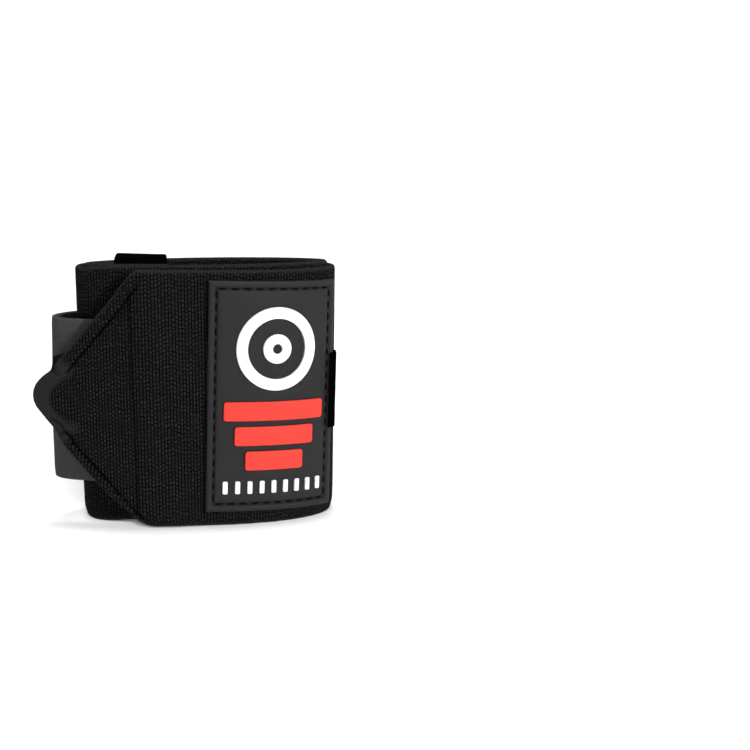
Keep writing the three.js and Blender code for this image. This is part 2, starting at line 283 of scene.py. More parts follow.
class PlanLine:
    """A line seen from above, measured along its length from a chosen zero."""

    STEP = 0.2

    def __init__(self, points, zero=0.0):
        self.points = points
        gaps = np.linalg.norm(np.diff(points, axis=0), axis=1)
        self.lengths = np.concatenate([[0], np.cumsum(gaps)]) - zero

    def spot(self, length):
        return np.stack([np.interp(length, self.lengths, self.points[:, axis]) for axis in (0, 1)], -1)

    def at(self, length):
        length = np.asarray(length, float)
        low = np.clip(length - self.STEP, self.lengths[0], self.lengths[-1])
        high = np.clip(length + self.STEP, self.lengths[0], self.lengths[-1])
        along = self.spot(high) - self.spot(low)
        along /= np.linalg.norm(along, axis=-1, keepdims=True)
        return self.spot(length), along, np.stack([along[..., 1], -along[..., 0]], -1)


def make_band_line():
    degrees = np.arange(SEAM_DEGREES, INNER_END_DEGREES + 0.1, 0.1)
    degrees[-1] = INNER_END_DEGREES
    turns = roll_points(degrees, band_outside(degrees))
    along = turns[1] - turns[0]
    along /= np.linalg.norm(along)
    outward = np.array([along[1], -along[0]])
    from_seam = np.linspace(FLAP_LENGTH, 0, 200, endpoint=False)
    turn = (from_seam / FLAP_BEND_RADIUS)[:, None]
    flap = turns[0] - FLAP_BEND_RADIUS * (np.sin(turn) * along + (1 - np.cos(turn)) * outward)
    return PlanLine(np.concatenate([flap, turns]), zero=FLAP_LENGTH)


def make_tape_line():
    degrees = np.linspace(TAPE_END_DEGREES, TAPE_LEAVES_DEGREES, 200)
    on_back = roll_points(degrees, np.full(degrees.shape, CLEARANCE + TAPE_THICKNESS / 2))
    leaving = on_back[-1]
    leaving_along = on_back[-1] - on_back[-2]
    leaving_along /= np.linalg.norm(leaving_along)
    far_left = np.array([-ROLL_WIDTH / 2 - TAPE_BULGE, BULGE_DEPTH])
    behind = BAND_THICKNESS / 2 - FLAP_THICKNESS - CLEARANCE - TAPE_THICKNESS / 2
    (join, root), along, outward = band_line.at([-TAPE_ON_FLAP, 0.0])
    join = join + outward[0] * behind
    root = root + outward[1] * behind
    first = bezier(leaving, leaving + leaving_along * BACK_HANDLE, far_left + [0, BULGE_HANDLE], far_left)
    second = bezier(far_left, far_left - [0, BULGE_HANDLE / 2], join - along[0] * FLAP_HANDLE, join)
    return PlanLine(np.concatenate([on_back, first[1:], second[1:], [root]]))


band_line = make_band_line()
tape_line = make_tape_line()
front_degrees = np.linspace(SEAM_DEGREES, 90, 1200)
front_line = PlanLine(roll_points(front_degrees, band_outside(front_degrees) + BAND_THICKNESS / 2))


def stand(spot, outward, outside, height):
    """Places in the part's frame, with the roll's taper, tuck and lean."""
    plan = spot + outward * np.asarray(outside)[..., None]
    plan = plan * narrowing(height)[..., None] + ROLL_CENTRE
    plan[..., 0] -= TOP_LEAN * height / BAND_WIDTH
    return np.concatenate([plan, height[..., None]], -1)


# Meshes

def sheet_mesh(name, outer, inner, closed=False, cloth=None, tone=None, shade=None):
    """A closed solid between two grids of places, outer and inner, with walls round their rim."""
    columns, rows = outer.shape[:2]
    index = np.arange(columns * rows).reshape(columns, rows)
    if closed:
        index = np.concatenate([index, index[:1]])
    a, b, c, d = index[:-1, :-1], index[1:, :-1], index[1:, 1:], index[:-1, 1:]
    top = np.stack([a, b, c, d], -1).reshape(-1, 4)
    below = columns * rows
    faces = [top, top[:, ::-1] + below]

    def wall(edge):
        faces.append(np.stack([edge[1:], edge[:-1], edge[:-1] + below, edge[1:] + below], -1))

    wall(index[:, 0])
    wall(index[::-1, -1])
    if not closed:
        wall(index[-1, :])
        wall(index[0, ::-1])
    faces = np.concatenate(faces)
    places = np.concatenate([outer.reshape(-1, 3), inner.reshape(-1, 3)])
    mesh = bpy.data.meshes.new(name)
    mesh.from_pydata((places * MM).tolist(), [], faces.tolist())
    mesh.polygons.foreach_set("use_smooth", np.ones(len(faces), bool))
    if cloth is not None:
        layer = mesh.attributes.new("cloth_mm", "FLOAT_VECTOR", "POINT")
        layer.data.foreach_set("vector", np.concatenate([cloth.reshape(-1, 3)] * 2).ravel())
    for title, values in (("tone", tone), ("shade", shade)):
        if values is not None:
            layer = mesh.attributes.new(title, "FLOAT", "POINT")
            layer.data.foreach_set("value", np.concatenate([values.ravel()] * 2))
    mesh.validate()
    mesh.update()
    piece = bpy.data.objects.new(name, mesh)
    bpy.context.scene.collection.objects.link(piece)
    return piece


def dress(piece, material, slot, *nodes):
    piece.data.materials.append(material)
    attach(piece, BODY)
    if nodes:
        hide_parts(*nodes)
    return piece


def rounded(distance, radius):
    """The share of full thickness at a distance in from a rounded edge."""
    share = np.clip(distance / radius, 0, 1)
    return np.sqrt(np.maximum(1 - (1 - share) ** 2, 0.0016))


# Materials

class Nodes:
    """Builds one procedural material, with short names for the nodes that it uses."""

    def __init__(self, name):
        self.material = bpy.data.materials.new(name)
        self.material.use_nodes = True
        self.tree = self.material.node_tree
        self.shader = self.tree.nodes["Principled BSDF"]

    def put(self, socket, value):
        if isinstance(value, bpy.types.NodeSocket):
            self.tree.links.new(value, socket)
        elif value is not None:
            socket.default_value = value

    def math(self, operation, first, second=None, third=None, clamp=False):
        node = self.tree.nodes.new("ShaderNodeMath")
        node.operation = operation
        node.use_clamp = clamp
        for socket, value in zip(node.inputs, (first, second, third)):
            self.put(socket, value)
        return node.outputs[0]

    def attribute(self, name):
        node = self.tree.nodes.new("ShaderNodeAttribute")
        node.attribute_name = name
        return node

    def split(self, vector):
        node = self.tree.nodes.new("ShaderNodeSeparateXYZ")
        self.put(node.inputs[0], vector)
        return node.outputs

    def join(self, x, y, z):
        node = self.tree.nodes.new("ShaderNodeCombineXYZ")
        for socket, value in zip(node.inputs, (x, y, z)):
            self.put(socket, value)
        return node.outputs[0]

    def noise(self, vector, scale, detail=2.0, rough=0.5):
        node = self.tree.nodes.new("ShaderNodeTexNoise")
        self.put(node.inputs["Vector"], vector)
        node.inputs["Scale"].default_value = scale
        node.inputs["Detail"].default_value = detail
        node.inputs["Roughness"].default_value = rough
        return node.outputs["Fac"]

    def random(self, vector):
        node = self.tree.nodes.new("ShaderNodeTexWhiteNoise")
        self.put(node.inputs["Vector"], vector)
        return node.outputs["Value"]

    def remap(self, value, low, high, to_low=0.0, to_high=1.0):
        node = self.tree.nodes.new("ShaderNodeMapRange")
        node.interpolation_type = "SMOOTHSTEP"
        for socket, item in zip(node.inputs, (value, low, high, to_low, to_high)):
            self.put(socket, item)
        return node.outputs["Result"]

    def mix(self, share, first, second):
        node = self.tree.nodes.new("ShaderNodeMix")
        node.data_type = "RGBA"
        self.put(node.inputs["Factor"], share)
        self.put(node.inputs["A"], first)
        self.put(node.inputs["B"], second)
        return node.outputs["Result"]

    def bump(self, height, distance, strength=1.0):
        node = self.tree.nodes.new("ShaderNodeBump")
        node.inputs["Strength"].default_value = strength
        node.inputs["Distance"].default_value = distance * MM
        self.put(node.inputs["Height"], height)
        return node.outputs["Normal"]

    def position(self):
        node = self.tree.nodes.new("ShaderNodeTexCoord")
        return node.outputs["Object"]

    def finish(self, color, normal=None, roughness=0.8, sheen=0.0, specular=0.5, glow=None):
        shader = self.shader.inputs
        self.put(shader["Base Color"], color)
        self.put(shader["Roughness"], roughness)
        shader["Sheen Weight"].default_value = sheen
        shader["Sheen Roughness"].default_value = 0.5
        shader["Specular IOR Level"].default_value = specular
        if normal is not None:
            self.put(shader["Normal"], normal)
        if glow is not None:
            self.put(shader["Emission Strength"], glow)
        return self.material


def grey(level):
    """A neutral colour from its sRGB level of 255."""
    share = level / 255
    linear = share / 12.92 if share <= 0.04045 else ((share + 0.055) / 1.055) ** 2.4
    return (linear, linear, linear, 1)


def elastic_material():
    n = Nodes("woven_elastic")
    along, up, _ = n.split(n.attribute("cloth_mm").outputs["Vector"])
    tone = n.attribute("tone").outputs["Fac"]
    shade = n.attribute("shade").outputs["Fac"]
    fuzz = n.noise(n.position(), 2600.0, 3.0, 0.6)
    slip = n.math("MULTIPLY", n.math("SUBTRACT", n.noise(n.position(), 420.0, 1.0), 0.5), 0.25)
    rib_number = n.math("DIVIDE", n.math("ADD", along, slip), RIB_PITCH)
    rib = n.math("FLOOR", rib_number)
    across = n.math("SINE", n.math("MULTIPLY", n.math("FRACT", rib_number), math.pi))
    drift = n.random(n.join(rib, 3.0, 0.0))
    wander = n.noise(n.join(rib, n.math("MULTIPLY", up, 0.4), 0.0), 1.0, 1.0)
    dash_number = n.math("ADD", n.math("ADD", n.math("DIVIDE", up, DASH_LENGTH), drift), wander)
    dash = n.math("FLOOR", dash_number)
    part = n.math("FRACT", dash_number)
    luck = n.random(n.join(rib, dash, 0.0))
    rising = n.remap(part, 0.0, 0.3)
    falling = n.remap(part, 0.7, 1.0, 1.0, 0.0)
    gap_depth = n.math("MULTIPLY_ADD", luck, 0.6, 0.4)
    gap = n.math("MULTIPLY", n.math("SUBTRACT", 1.0, n.math("MULTIPLY", rising, falling)), gap_depth)
    dash_height = n.math("SUBTRACT", 1.0, gap)
    height = n.math("MULTIPLY", across, dash_height)
    strength = n.math("MULTIPLY_ADD", luck, 0.5, 0.5)
    # The raised dashes are painted lighter and the gaps between them darker: painted highlight and painted
    # shade
    light = n.math("MULTIPLY", n.math("POWER", height, 1.6), strength)
    light = n.math("ADD", light, n.math("MULTIPLY", n.math("SUBTRACT", fuzz, 0.5), 0.3), clamp=True)
    woven = n.mix(light, grey(2), grey(38))
    plain = n.mix(fuzz, grey(15), grey(42))
    # The shade attribute takes the colour towards black: painted shade, and black thread in the grooves
    color = n.mix(n.math("MULTIPLY", shade, 0.94), n.mix(tone, woven, plain), grey(1))
    flattened = n.math("MULTIPLY", height, n.math("SUBTRACT", 1.0, n.math("MULTIPLY", tone, 0.8)))
    relief = n.math("ADD", flattened, n.math("MULTIPLY", fuzz, 0.35))
    return n.finish(color, n.bump(relief, 0.25), 0.95, sheen=0.0, specular=0.03)


def tape_material():
    n = Nodes("hook_tape_cloth")
    along, up, edge = n.split(n.attribute("cloth_mm").outputs["Vector"])
    turned = n.math("ADD", n.math("MULTIPLY", along, 0.8), n.math("MULTIPLY", up, 1.0))
    line = n.math("SINE", n.math("MULTIPLY", turned, 2 * math.pi / 1.1))
    thread = n.math("SINE", n.math("MULTIPLY", along, 2 * math.pi / 0.55))
    weave = n.math("MULTIPLY_ADD", line, 0.6, n.math("MULTIPLY", thread, 0.4))
    inside = n.remap(edge, 1.6, 2.4)
    relief = n.math("MULTIPLY", weave, inside)
    fuzz = n.noise(n.position(), 1900.0, 3.0, 0.6)
    blotch = n.noise(n.position(), 90.0, 2.0, 0.5)
    light = n.math("MULTIPLY_ADD", relief, 0.16, fuzz)
    light = n.math("MULTIPLY_ADD", n.math("SUBTRACT", blotch, 0.5), 0.5, light, clamp=True)
    color = n.mix(light, grey(42), grey(70))
    height = n.math("MULTIPLY_ADD", relief, 0.35, fuzz)
    return n.finish(color, n.bump(height, 0.12), 0.95, sheen=0.0, specular=0.04)


def ribbon_material(name, pitch, level):
    n = Nodes(name)
    along, _, _ = n.split(n.attribute("cloth_mm").outputs["Vector"])
    rib = n.math("ABSOLUTE", n.math("SINE", n.math("MULTIPLY", along, math.pi / pitch)))
    fuzz = n.noise(n.position(), 2200.0)
    height = n.math("MULTIPLY_ADD", fuzz, 0.5, rib)
    color = n.mix(n.math("MULTIPLY", rib, fuzz), grey(level * 0.4), grey(level))
    return n.finish(color, n.bump(height, 0.1), 1.0, sheen=0.0, specular=0.0)


def rubber_material(name, color, gloss=0.55, mottle=0.06):
    n = Nodes(name)
    grain = n.noise(n.position(), 1500.0, 3.0, 0.6)
    cloud = n.noise(n.position(), 120.0, 2.0, 0.5)
    shade = n.math("MULTIPLY_ADD", n.math("SUBTRACT", cloud, 0.5), mottle * 2, 0.5)
    darker = tuple(part * (1 - mottle) for part in color[:3]) + (1,)
    lighter = tuple(min(1, part * (1 + mottle)) for part in color[:3]) + (1,)
    rough = n.remap(grain, 0.3, 0.7, gloss - 0.06, gloss + 0.06)
    return n.finish(n.mix(shade, darker, lighter), n.bump(grain, 0.02), rough, specular=0.1)


def thread_material():
    n = Nodes("sewing_thread")
    twist = n.noise(n.position(), 3200.0, 1.0)
    return n.finish(n.mix(twist, grey(1), grey(8)), n.bump(twist, 0.05), 0.8, sheen=0.0, specular=0.05)


# The elastic band

FOLD_ANGLE = math.atan2(BAND_WIDTH / 2, FLAP_LENGTH)
TIP_SET = TIP_RADIUS / math.sin(FOLD_ANGLE)
TIP_END = TIP_SET - TIP_RADIUS
TIP_TANGENT = TIP_SET - TIP_RADIUS * math.sin(FOLD_ANGLE)
LOWER_ROWS = (0.0, 0.12, 0.35, 0.7, 1.1, 1.5, 2.0, 2.4, 2.7, 2.95, 3.2, 3.5, 4.2)
UPPER_ROWS = (0.0, 0.12, 0.35, 0.7, 1.2, 1.8, 2.5, 3.2, 3.7, 4.0, 4.25, 4.5, 4.8, 5.4)
MIDDLE_ROWS = 9
EDGE_POINTS_ON_TIP = 14
EDGE_STEP = 0.4
EDGE_TRACED_UNTIL = 54.0
WELT_POINTS = 12
WELT_STOPS_BEFORE_CORNER = 1.0


def straight_height(from_point):
    """Half the height of the pointed end: straight edges, and a round tip that reaches out a little."""
    from_point = from_point + TIP_REACH * (1 - smooth(from_point, *TIP_REACH_ENDS))
    arc = np.sqrt(np.maximum(TIP_RADIUS**2 - (TIP_SET - from_point) ** 2, 0))
    return np.where(from_point < TIP_TANGENT, arc, from_point * math.tan(FOLD_ANGLE))


def under(height, roundness):
    """Keeps a height under half the band's width, with a round corner where it gets there."""
    spare = BAND_WIDTH / 2 - height
    return BAND_WIDTH / 2 - roundness * np.logaddexp(0, spare / roundness)


def upper_edge(from_point, shoulder=True):
    """How high the upper edge runs over the middle; the shoulder is the rear ply that shows past the welt."""
    bow = UPPER_BOW * smooth(from_point, *BOW_STARTS)
    bow = bow + UPPER_CORNER_BOW * smooth(from_point, *UPPER_CORNER_ENDS)
    edge = straight_height(from_point) + bow
    if shoulder:
        rise = SHOULDER_HEIGHT + SHOULDER_SLOPE * (from_point - SHOULDER_ENDS[1])
        edge = edge + np.maximum(rise - edge, 0) * smooth(from_point, *SHOULDER_ENDS)
    return under(edge, UPPER_CORNER_ROUND)


def lower_edge(from_point):
    """How far the lower edge runs below the middle."""
    bow = LOWER_BOW * smooth(from_point, *BOW_STARTS) * (1 - smooth(from_point, *LOWER_BOW_ENDS))
    return under(straight_height(from_point) + bow, LOWER_CORNER_ROUND)


def line_distance(length, off_centre, points):
    """How far places lie from a line of straight stretches."""
    least = np.full(length.shape, np.inf)
    for (x0, y0), (x1, y1) in zip(points, points[1:]):
        dx, dy = x1 - x0, y1 - y0
        share = np.clip(((length - x0) * dx + (off_centre - y0) * dy) / (dx * dx + dy * dy), 0, 1)
        least = np.minimum(least, np.hypot(length - x0 - share * dx, off_centre - y0 - share * dy))
    return least


def flap_centre(length):
    """How high the middle of the pointed end runs."""
    lift = TIP_LIFT * (1 - smooth(length + FLAP_LENGTH, *TIP_LIFT_ENDS))
    return band_centre(SEAM_DEGREES) - FLAP_DROOP * np.clip(-length, 0, None) / FLAP_LENGTH + lift


def edge_distances(length, off_centre):
    """How far places lie from the upper and from the lower edge of the pointed end."""
    round_tip = np.linspace(TIP_END - TIP_REACH, TIP_TANGENT, EDGE_POINTS_ON_TIP)[:-1]
    from_point = np.concatenate([round_tip, np.arange(TIP_TANGENT, EDGE_TRACED_UNTIL, EDGE_STEP)])
    along = from_point - FLAP_LENGTH
    upper = line_distance(length, off_centre, list(zip(along, upper_edge(from_point))))
    lower = line_distance(length, off_centre, list(zip(along, -lower_edge(from_point))))
    return upper, lower


def upper_welt_middle():
    """The middle line of the upper welt, from its round end to the corner."""
    from_point = np.linspace(UPPER_FOLD_START, FLAP_LENGTH - WELT_STOPS_BEFORE_CORNER, WELT_POINTS)
    edge = upper_edge(from_point, shoulder=False)
    inset = UPPER_FOLD_WIDTH / 2
    along = from_point - FLAP_LENGTH + math.sin(FOLD_ANGLE) * inset
    return list(zip(along, edge - math.cos(FOLD_ANGLE) * inset))


def hollow(distance, half_width):
    """A soft hollow: 1 along its line and next to nothing two half widths away."""
    return np.exp(-((distance / half_width) ** 2))


def flap_relief(length, off_centre, upper, lower):
    """Relief of the pointed end's outer face, with its smooth parts and its painted shade: in the creases,
    along the seam and on the shoulder, and in the grooves together with their black thread.
    """
    along_fold = (length + FLAP_LENGTH) * math.cos(FOLD_ANGLE) + np.abs(off_centre) * math.sin(FOLD_ANGLE)
    is_upper = off_centre > 0
    half = UPPER_FOLD_WIDTH / 2
    from_middle = line_distance(length, off_centre, upper_welt_middle())
    upper_welt = np.sqrt(np.maximum(1 - (from_middle / half) ** 2, 0)) * is_upper
    narrow = smooth(length, *LOWER_FOLD_NARROWS)
    width = LOWER_FOLD_WIDTH + (LOWER_FOLD_LEAST - LOWER_FOLD_WIDTH) * narrow
    lower_share = np.clip(np.abs(lower - width / 2) / (width / 2), 0, 1)
    lower_welt = np.sqrt(1 - lower_share**2) * smooth(along_fold, *LOWER_FOLD_START) * ~is_upper
    welt = np.maximum(upper_welt, lower_welt) * (1 - smooth(length, *WELTS_STOP))
    inner_side = (upper > half) & is_upper
    upper_groove = hollow(from_middle - half - GROOVE_PAST_UPPER_FOLD, GROOVE_HALF_WIDTH) * inner_side
    lower_groove = hollow(lower - width - GROOVE_PAST_LOWER_FOLD, GROOVE_HALF_WIDTH) * ~is_upper
    groove = (upper_groove + lower_groove) * smooth(along_fold, *GROOVE_STARTS)
    groove = groove * (1 - smooth(length, *GROOVES_STOP))
    from_creases = [line_distance(length, off_centre, line) for line in CREASES]
    crease = hollow(np.minimum.reduce(from_creases), GROOVE_HALF_WIDTH)
    from_seam = length - SEAM_LINE + SEAM_LEAN * off_centre
    seam = hollow(from_seam, SEAM_HALF_WIDTH) * smooth(np.minimum(upper, lower), 2.0, 3.5)
    shoulder = smooth(from_middle, half, half + 0.4) * (upper < half + 0.5) * is_upper
    shoulder = shoulder * (length + FLAP_LENGTH > SHOULDER_ENDS[0])
    shoulder = shoulder * (along_fold < SHOULDER_UNTIL_ALONG_FOLD) * (off_centre > SHOULDER_LEAST_HEIGHT)
    relief = FOLD_BULGE * welt - GROOVE_DEPTH * groove - CREASE_DEPTH * crease - SEAM_DEPTH * seam
    relief = relief - SHOULDER_SINK * shoulder
    # shade is painted shade, mixed into the colour: in the creases, along the seam and on the shoulder; in
    # the grooves it stands for black thread and painted shade
    shade = groove + CREASE_PAINTED_SHADE * crease + SEAM_PAINTED_SHADE * seam + SHOULDER_PAINTED_SHADE * shoulder
    spread = SMOOTH_TONGUE_SPREAD * np.sqrt(np.clip(length - SMOOTH_TONGUE_FROM, 0, None))
    tongue = smooth(np.abs(off_centre) - spread, -0.7, 0.7) * (1 - smooth(along_fold, *SMOOTH_TONGUE_STOPS))
    tongue = np.where(length < SMOOTH_TONGUE_FROM, 1.0, tongue)
    return relief, np.clip(shade, 0, 1), tongue


def make_band():
    end = band_line.lengths[-1]
    step = RIB_PITCH / COLUMNS_PER_RIB
    first = TIP_END - TIP_REACH - FLAP_LENGTH + 0.01
    start = math.ceil(first / step) * step
    near_tip = first + np.array([0.0, 0.03, 0.09])
    length = np.concatenate([near_tip, np.arange(start, end - step / 2, step), [end]])
    length = np.unique(length)
    turn_degrees = np.interp(length, degree_lengths, degree_values)
    from_point = length + FLAP_LENGTH
    # Rows lie at even distances in from the slanting edges, so they are further apart upright
    lean = 1 + (1 - smooth(length, -1.5, 1.5)) * (1 / math.cos(FOLD_ANGLE) - 1)

    def rows_in(edge, rows):
        squeeze = np.minimum(1, edge / (1.15 * rows[-1] * lean))
        return edge[:, None] - np.array(rows)[None, :] * (lean * squeeze)[:, None]

    on_roll = length > STRAIGHT_EDGES_FROM
    low = -rows_in(np.where(on_roll, BAND_WIDTH / 2, lower_edge(from_point)), LOWER_ROWS)
    high = rows_in(np.where(on_roll, BAND_WIDTH / 2, upper_edge(from_point)), UPPER_ROWS)[:, ::-1]
    share = np.linspace(0, 1, MIDDLE_ROWS + 2)[1:-1][None, :]
    off_centre = np.concatenate([low, low[:, -1:] * (1 - share) + high[:, :1] * share, high], 1)
    rows = off_centre.shape[1]
    length2 = np.repeat(length[:, None], rows, 1)
    upper, lower = BAND_WIDTH / 2 - off_centre, BAND_WIDTH / 2 + off_centre
    relief, shade, tongue = (np.zeros(off_centre.shape) for _ in range(3))
    flap = length < RELIEF_UNTIL
    places = length2[flap], off_centre[flap]
    upper[flap], lower[flap] = edge_distances(*places)
    relief[flap], shade[flap], tongue[flap] = flap_relief(*places, upper[flap], lower[flap])
    distance = np.minimum(np.minimum(upper, lower), end - length2 + 0.02)
    centre = np.where(length < 0, flap_centre(length), band_centre(turn_degrees))
    # The woven edge is scalloped: every rib ends in a small round
    wave = np.abs(np.sin(np.pi * length / RIB_PITCH))
    scallop = SCALLOP * (wave[:, None] - 1) * (1 - smooth(distance, 0, 1.0)) * np.sign(off_centre)
    height = centre[:, None] + off_centre + scallop
    thin = smooth(turn_degrees, SEAM_DEGREES, RISE_UNTIL_DEGREES)
    thinner = FLAP_THICKNESS + (BAND_THICKNESS - FLAP_THICKNESS) * thin
    thickness = np.where(length < 0, FLAP_THICKNESS, thinner)
    rib = np.sin(np.pi * np.mod(length / RIB_PITCH, 1.0))[:, None] * RIB_HEIGHT * smooth(distance, 0.2, 1.2)
    middle_line = BAND_THICKNESS / 2 - thickness[:, None] / 2
    side = thickness[:, None] / 2 * rounded(distance, EDGE_RADIUS)
    outer = middle_line + side + relief + rib - RIB_HEIGHT / 2
    inner = middle_line - side - rib + RIB_HEIGHT / 2
    outer = np.maximum(outer, inner + THINNEST)
    spot, _, outward = band_line.at(length)
    spot, outward = spot[:, None, :], outward[:, None, :]
    tone = np.maximum(tongue, (1 - smooth(distance, 0.5, 1.3)) * EDGE_SMOOTHNESS)
    cloth = np.stack([length2, height, distance], -1)
    outer, inner = (stand(spot, outward, face, height) for face in (outer, inner))
    return sheet_mesh("elastic_cloth", outer, inner, False, cloth, tone, shade)


degree_values = np.arange(SEAM_DEGREES, INNER_END_DEGREES, 1.0)
degree_points = roll_points(degree_values, band_outside(degree_values))
degree_lengths = np.concatenate([[0], np.cumsum(np.linalg.norm(np.diff(degree_points, axis=0), axis=1))])

elastic = elastic_material()
band = dress(make_band(), elastic, "elastic", "elastic_band")


# The hook tape

def graded(size, near, step):
    """Places along a side: close ones in from both ends, even ones between."""
    count = max(2, math.ceil((size - 2 * near[-1]) / step) + 1)
    middle = np.linspace(near[-1], size - near[-1], count)[1:-1]
    near = np.array(near)
    return np.concatenate([near, middle, size - near[::-1]])


def make_tape():
    end = tape_line.lengths[-1]
    length = graded(end, (0.0, 0.08, 0.25, 0.6), 0.6)
    up = graded(TAPE_WIDTH, (0.0, 0.08, 0.25, 0.6, 1.2, 2.2), 2.0)
    length2, up2 = np.meshgrid(length, up, indexing="ij")
    distance = np.minimum.reduce([length2, end - length2, up2, TAPE_WIDTH - up2])
    half = TAPE_THICKNESS / 2 * rounded(distance, 0.5)
    selvage = SELVAGE_DEPTH * smooth(np.minimum(up2, TAPE_WIDTH - up2), *SELVAGE_ENDS)
    height = TAPE_CENTRE_HEIGHT - TAPE_WIDTH / 2 + up2
    spot, _, outward = tape_line.at(length)
    sway = TAPE_SWAY[0] + (TAPE_SWAY[1] - TAPE_SWAY[0]) * smooth(height, *TAPE_SWAY_HEIGHTS)
    sway = sway * smooth(-spot[:, None, 0], *TAPE_SWAY_FROM)
    spot, outward = spot[:, None, :], outward[:, None, :]
    outer = stand(spot, outward, half - SELVAGE_DEPTH + selvage, height)
    inner = stand(spot, outward, -half, height)
    outer[..., 0] += sway
    inner[..., 0] += sway
    return sheet_mesh("tape_cloth", outer, inner, False, np.stack([length2, up2, distance], -1))


tape = dress(make_tape(), tape_material(), "hook_tape", "hook_tape")


# The thumb loop

def loop_profile():
    """The loop's middle line in the upright plane across the band: distance into the hollow, and height."""
    outer_radius = INNER_FOLD_RADIUS + LOOP_THICKNESS + CLEARANCE
    fold_centre = CLEARANCE + LOOP_THICKNESS / 2 + outer_radius
    rim = band_centre(INNER_END_DEGREES) + BAND_WIDTH / 2
    fold_height = rim + LOOP_TOP - outer_radius - LOOP_THICKNESS / 2
    eye_top = fold_height - LOOP_REACH + EYE_LENGTH
    half_turn = np.linspace(0, math.pi, 24)
    circle = np.stack([np.cos(half_turn), np.sin(half_turn)], -1)
    centre = np.array([fold_centre, fold_height])
    eye_turn = np.linspace(0, math.pi, 60)
    neck = (outer_radius - INNER_FOLD_RADIUS) / 2
    sideways = neck * np.cos(eye_turn) + EYE_WIDTH / 2 * np.sin(2 * eye_turn)
    eye_centre = fold_centre + (outer_radius + INNER_FOLD_RADIUS) / 2
    eye = np.stack([eye_centre + sideways, eye_top - EYE_LENGTH * np.sin(eye_turn)], -1)
    ends = fold_height - LOOP_SEWN_LENGTH
    return np.concatenate([
        [[fold_centre - outer_radius, ends]],
        centre + outer_radius * circle[::-1],
        eye,
        centre + INNER_FOLD_RADIUS * circle,
        [[fold_centre - INNER_FOLD_RADIUS, ends]],
    ])


def make_loop():
    line = PlanLine(loop_profile())
    end = line.lengths[-1]
    length = graded(end, (0.0, 0.1, 0.3, 0.6), 0.45)
    across = graded(LOOP_WIDTH, (0.0, 0.1, 0.3, 0.6), 1.6)
    spot, _, side = line.at(length)
    length2, across2 = np.meshgrid(length, across, indexing="ij")
    distance = np.minimum.reduce([length2, end - length2, across2, LOOP_WIDTH - across2])
    half = LOOP_THICKNESS / 2 * rounded(distance, 0.45)
    band_length = band_line.lengths[-1] - LOOP_FROM_END - across2
    plan, _, outward = band_line.at(band_length)
    grids = []
    for face in (-1, 1):
        place = spot[:, None, :] + side[:, None, :] * (face * half)[..., None]
        grids.append(stand(plan, outward, -BAND_THICKNESS / 2 - place[..., 0], place[..., 1]))
    return sheet_mesh("loop_ribbon", grids[0], grids[1], False, np.stack([length2, across2, distance], -1))


loop = dress(make_loop(), ribbon_material("loop_weave", 0.7, 5), "loop_ribbon", "thumb_loop")


# The label

def on_label(along, upwards, outside):
    """Places over the label: along it from its left edge, up from its lower edge, out from the band."""
    x, y = along - LABEL_WIDTH / 2, upwards - LABEL_HEIGHT / 2
    cos, sin = math.cos(LABEL_TILT), math.sin(LABEL_TILT)
    length = LABEL_FROM_SEAM + LABEL_WIDTH / 2 + x * cos - y * sin
    height = LABEL_BOTTOM + LABEL_HEIGHT / 2 + x * sin + y * cos
    spot, _, outward = front_line.at(length)
    return stand(spot, outward, CLEARANCE + outside, height)


def make_label():
    near = (0.0, 0.1, 0.25, 0.5, 1.0, 1.5, 1.8, 2.05, 2.3, 2.55, 2.8, 3.05, 3.3)
    along, upwards = np.meshgrid(
        graded(LABEL_WIDTH, near, 1.2), graded(LABEL_HEIGHT, near, 2.5), indexing="ij"
    )
    distance = np.minimum.reduce([along, LABEL_WIDTH - along, upwards, LABEL_HEIGHT - upwards])
    border = BORDER_HEIGHT * (1 - smooth(distance, BORDER_WIDTH - 0.6, BORDER_WIDTH))
    groove_middle = BORDER_WIDTH + LABEL_GROOVE_PAST_BORDER
    groove = LABEL_GROOVE * np.exp(-(((distance - groove_middle) / (LABEL_GROOVE_WIDTH / 2)) ** 2))
    bevel = 0.75 * (1 - rounded(distance, 0.6))
    outer = on_label(along, upwards, LABEL_THICKNESS + border - groove - bevel)
    inner = on_label(along, upwards, np.zeros(along.shape))
    return sheet_mesh("label_body", outer, inner)


label_grey = rubber_material("label_rubber", grey(31), 0.6)
dress(make_label(), label_grey, "label_rubber", "label_patch")


def art_block(name, middle, height, size, corner=0.9):
    """A raised block with round corners and a soft top edge."""
    width, tall = size
    near = (0.0, 0.06, 0.15, 0.3, 0.5, 0.9)
    along = graded(width, [share * min(1.0, width / 2.4) for share in near], 1.0)
    from_end = np.minimum(along, width - along)
    corner = min(corner, width / 2, tall / 2)
    lost = corner - np.sqrt(np.maximum(corner**2 - np.maximum(corner - from_end, 0) ** 2, 0))
    half = tall / 2 - lost
    rows = graded(2.0, [share * 2 / tall for share in near], 0.5) - 1
    along2 = np.repeat(along[:, None], len(rows), 1)
    up2 = half[:, None] * rows[None, :]
    ends = np.minimum(along2, width - along2)
    distance = np.minimum(ends, half[:, None] - np.abs(up2))
    rise = ART_THICKNESS * (0.45 + 0.55 * rounded(distance, 0.3))
    base = LABEL_THICKNESS + CLEARANCE * 0.2
    place = (middle - width / 2 + along2, height + up2)
    outer = on_label(*place, base + CLEARANCE * 0.8 + rise)
    return sheet_mesh(name, outer, on_label(*place, np.full(up2.shape, base)))


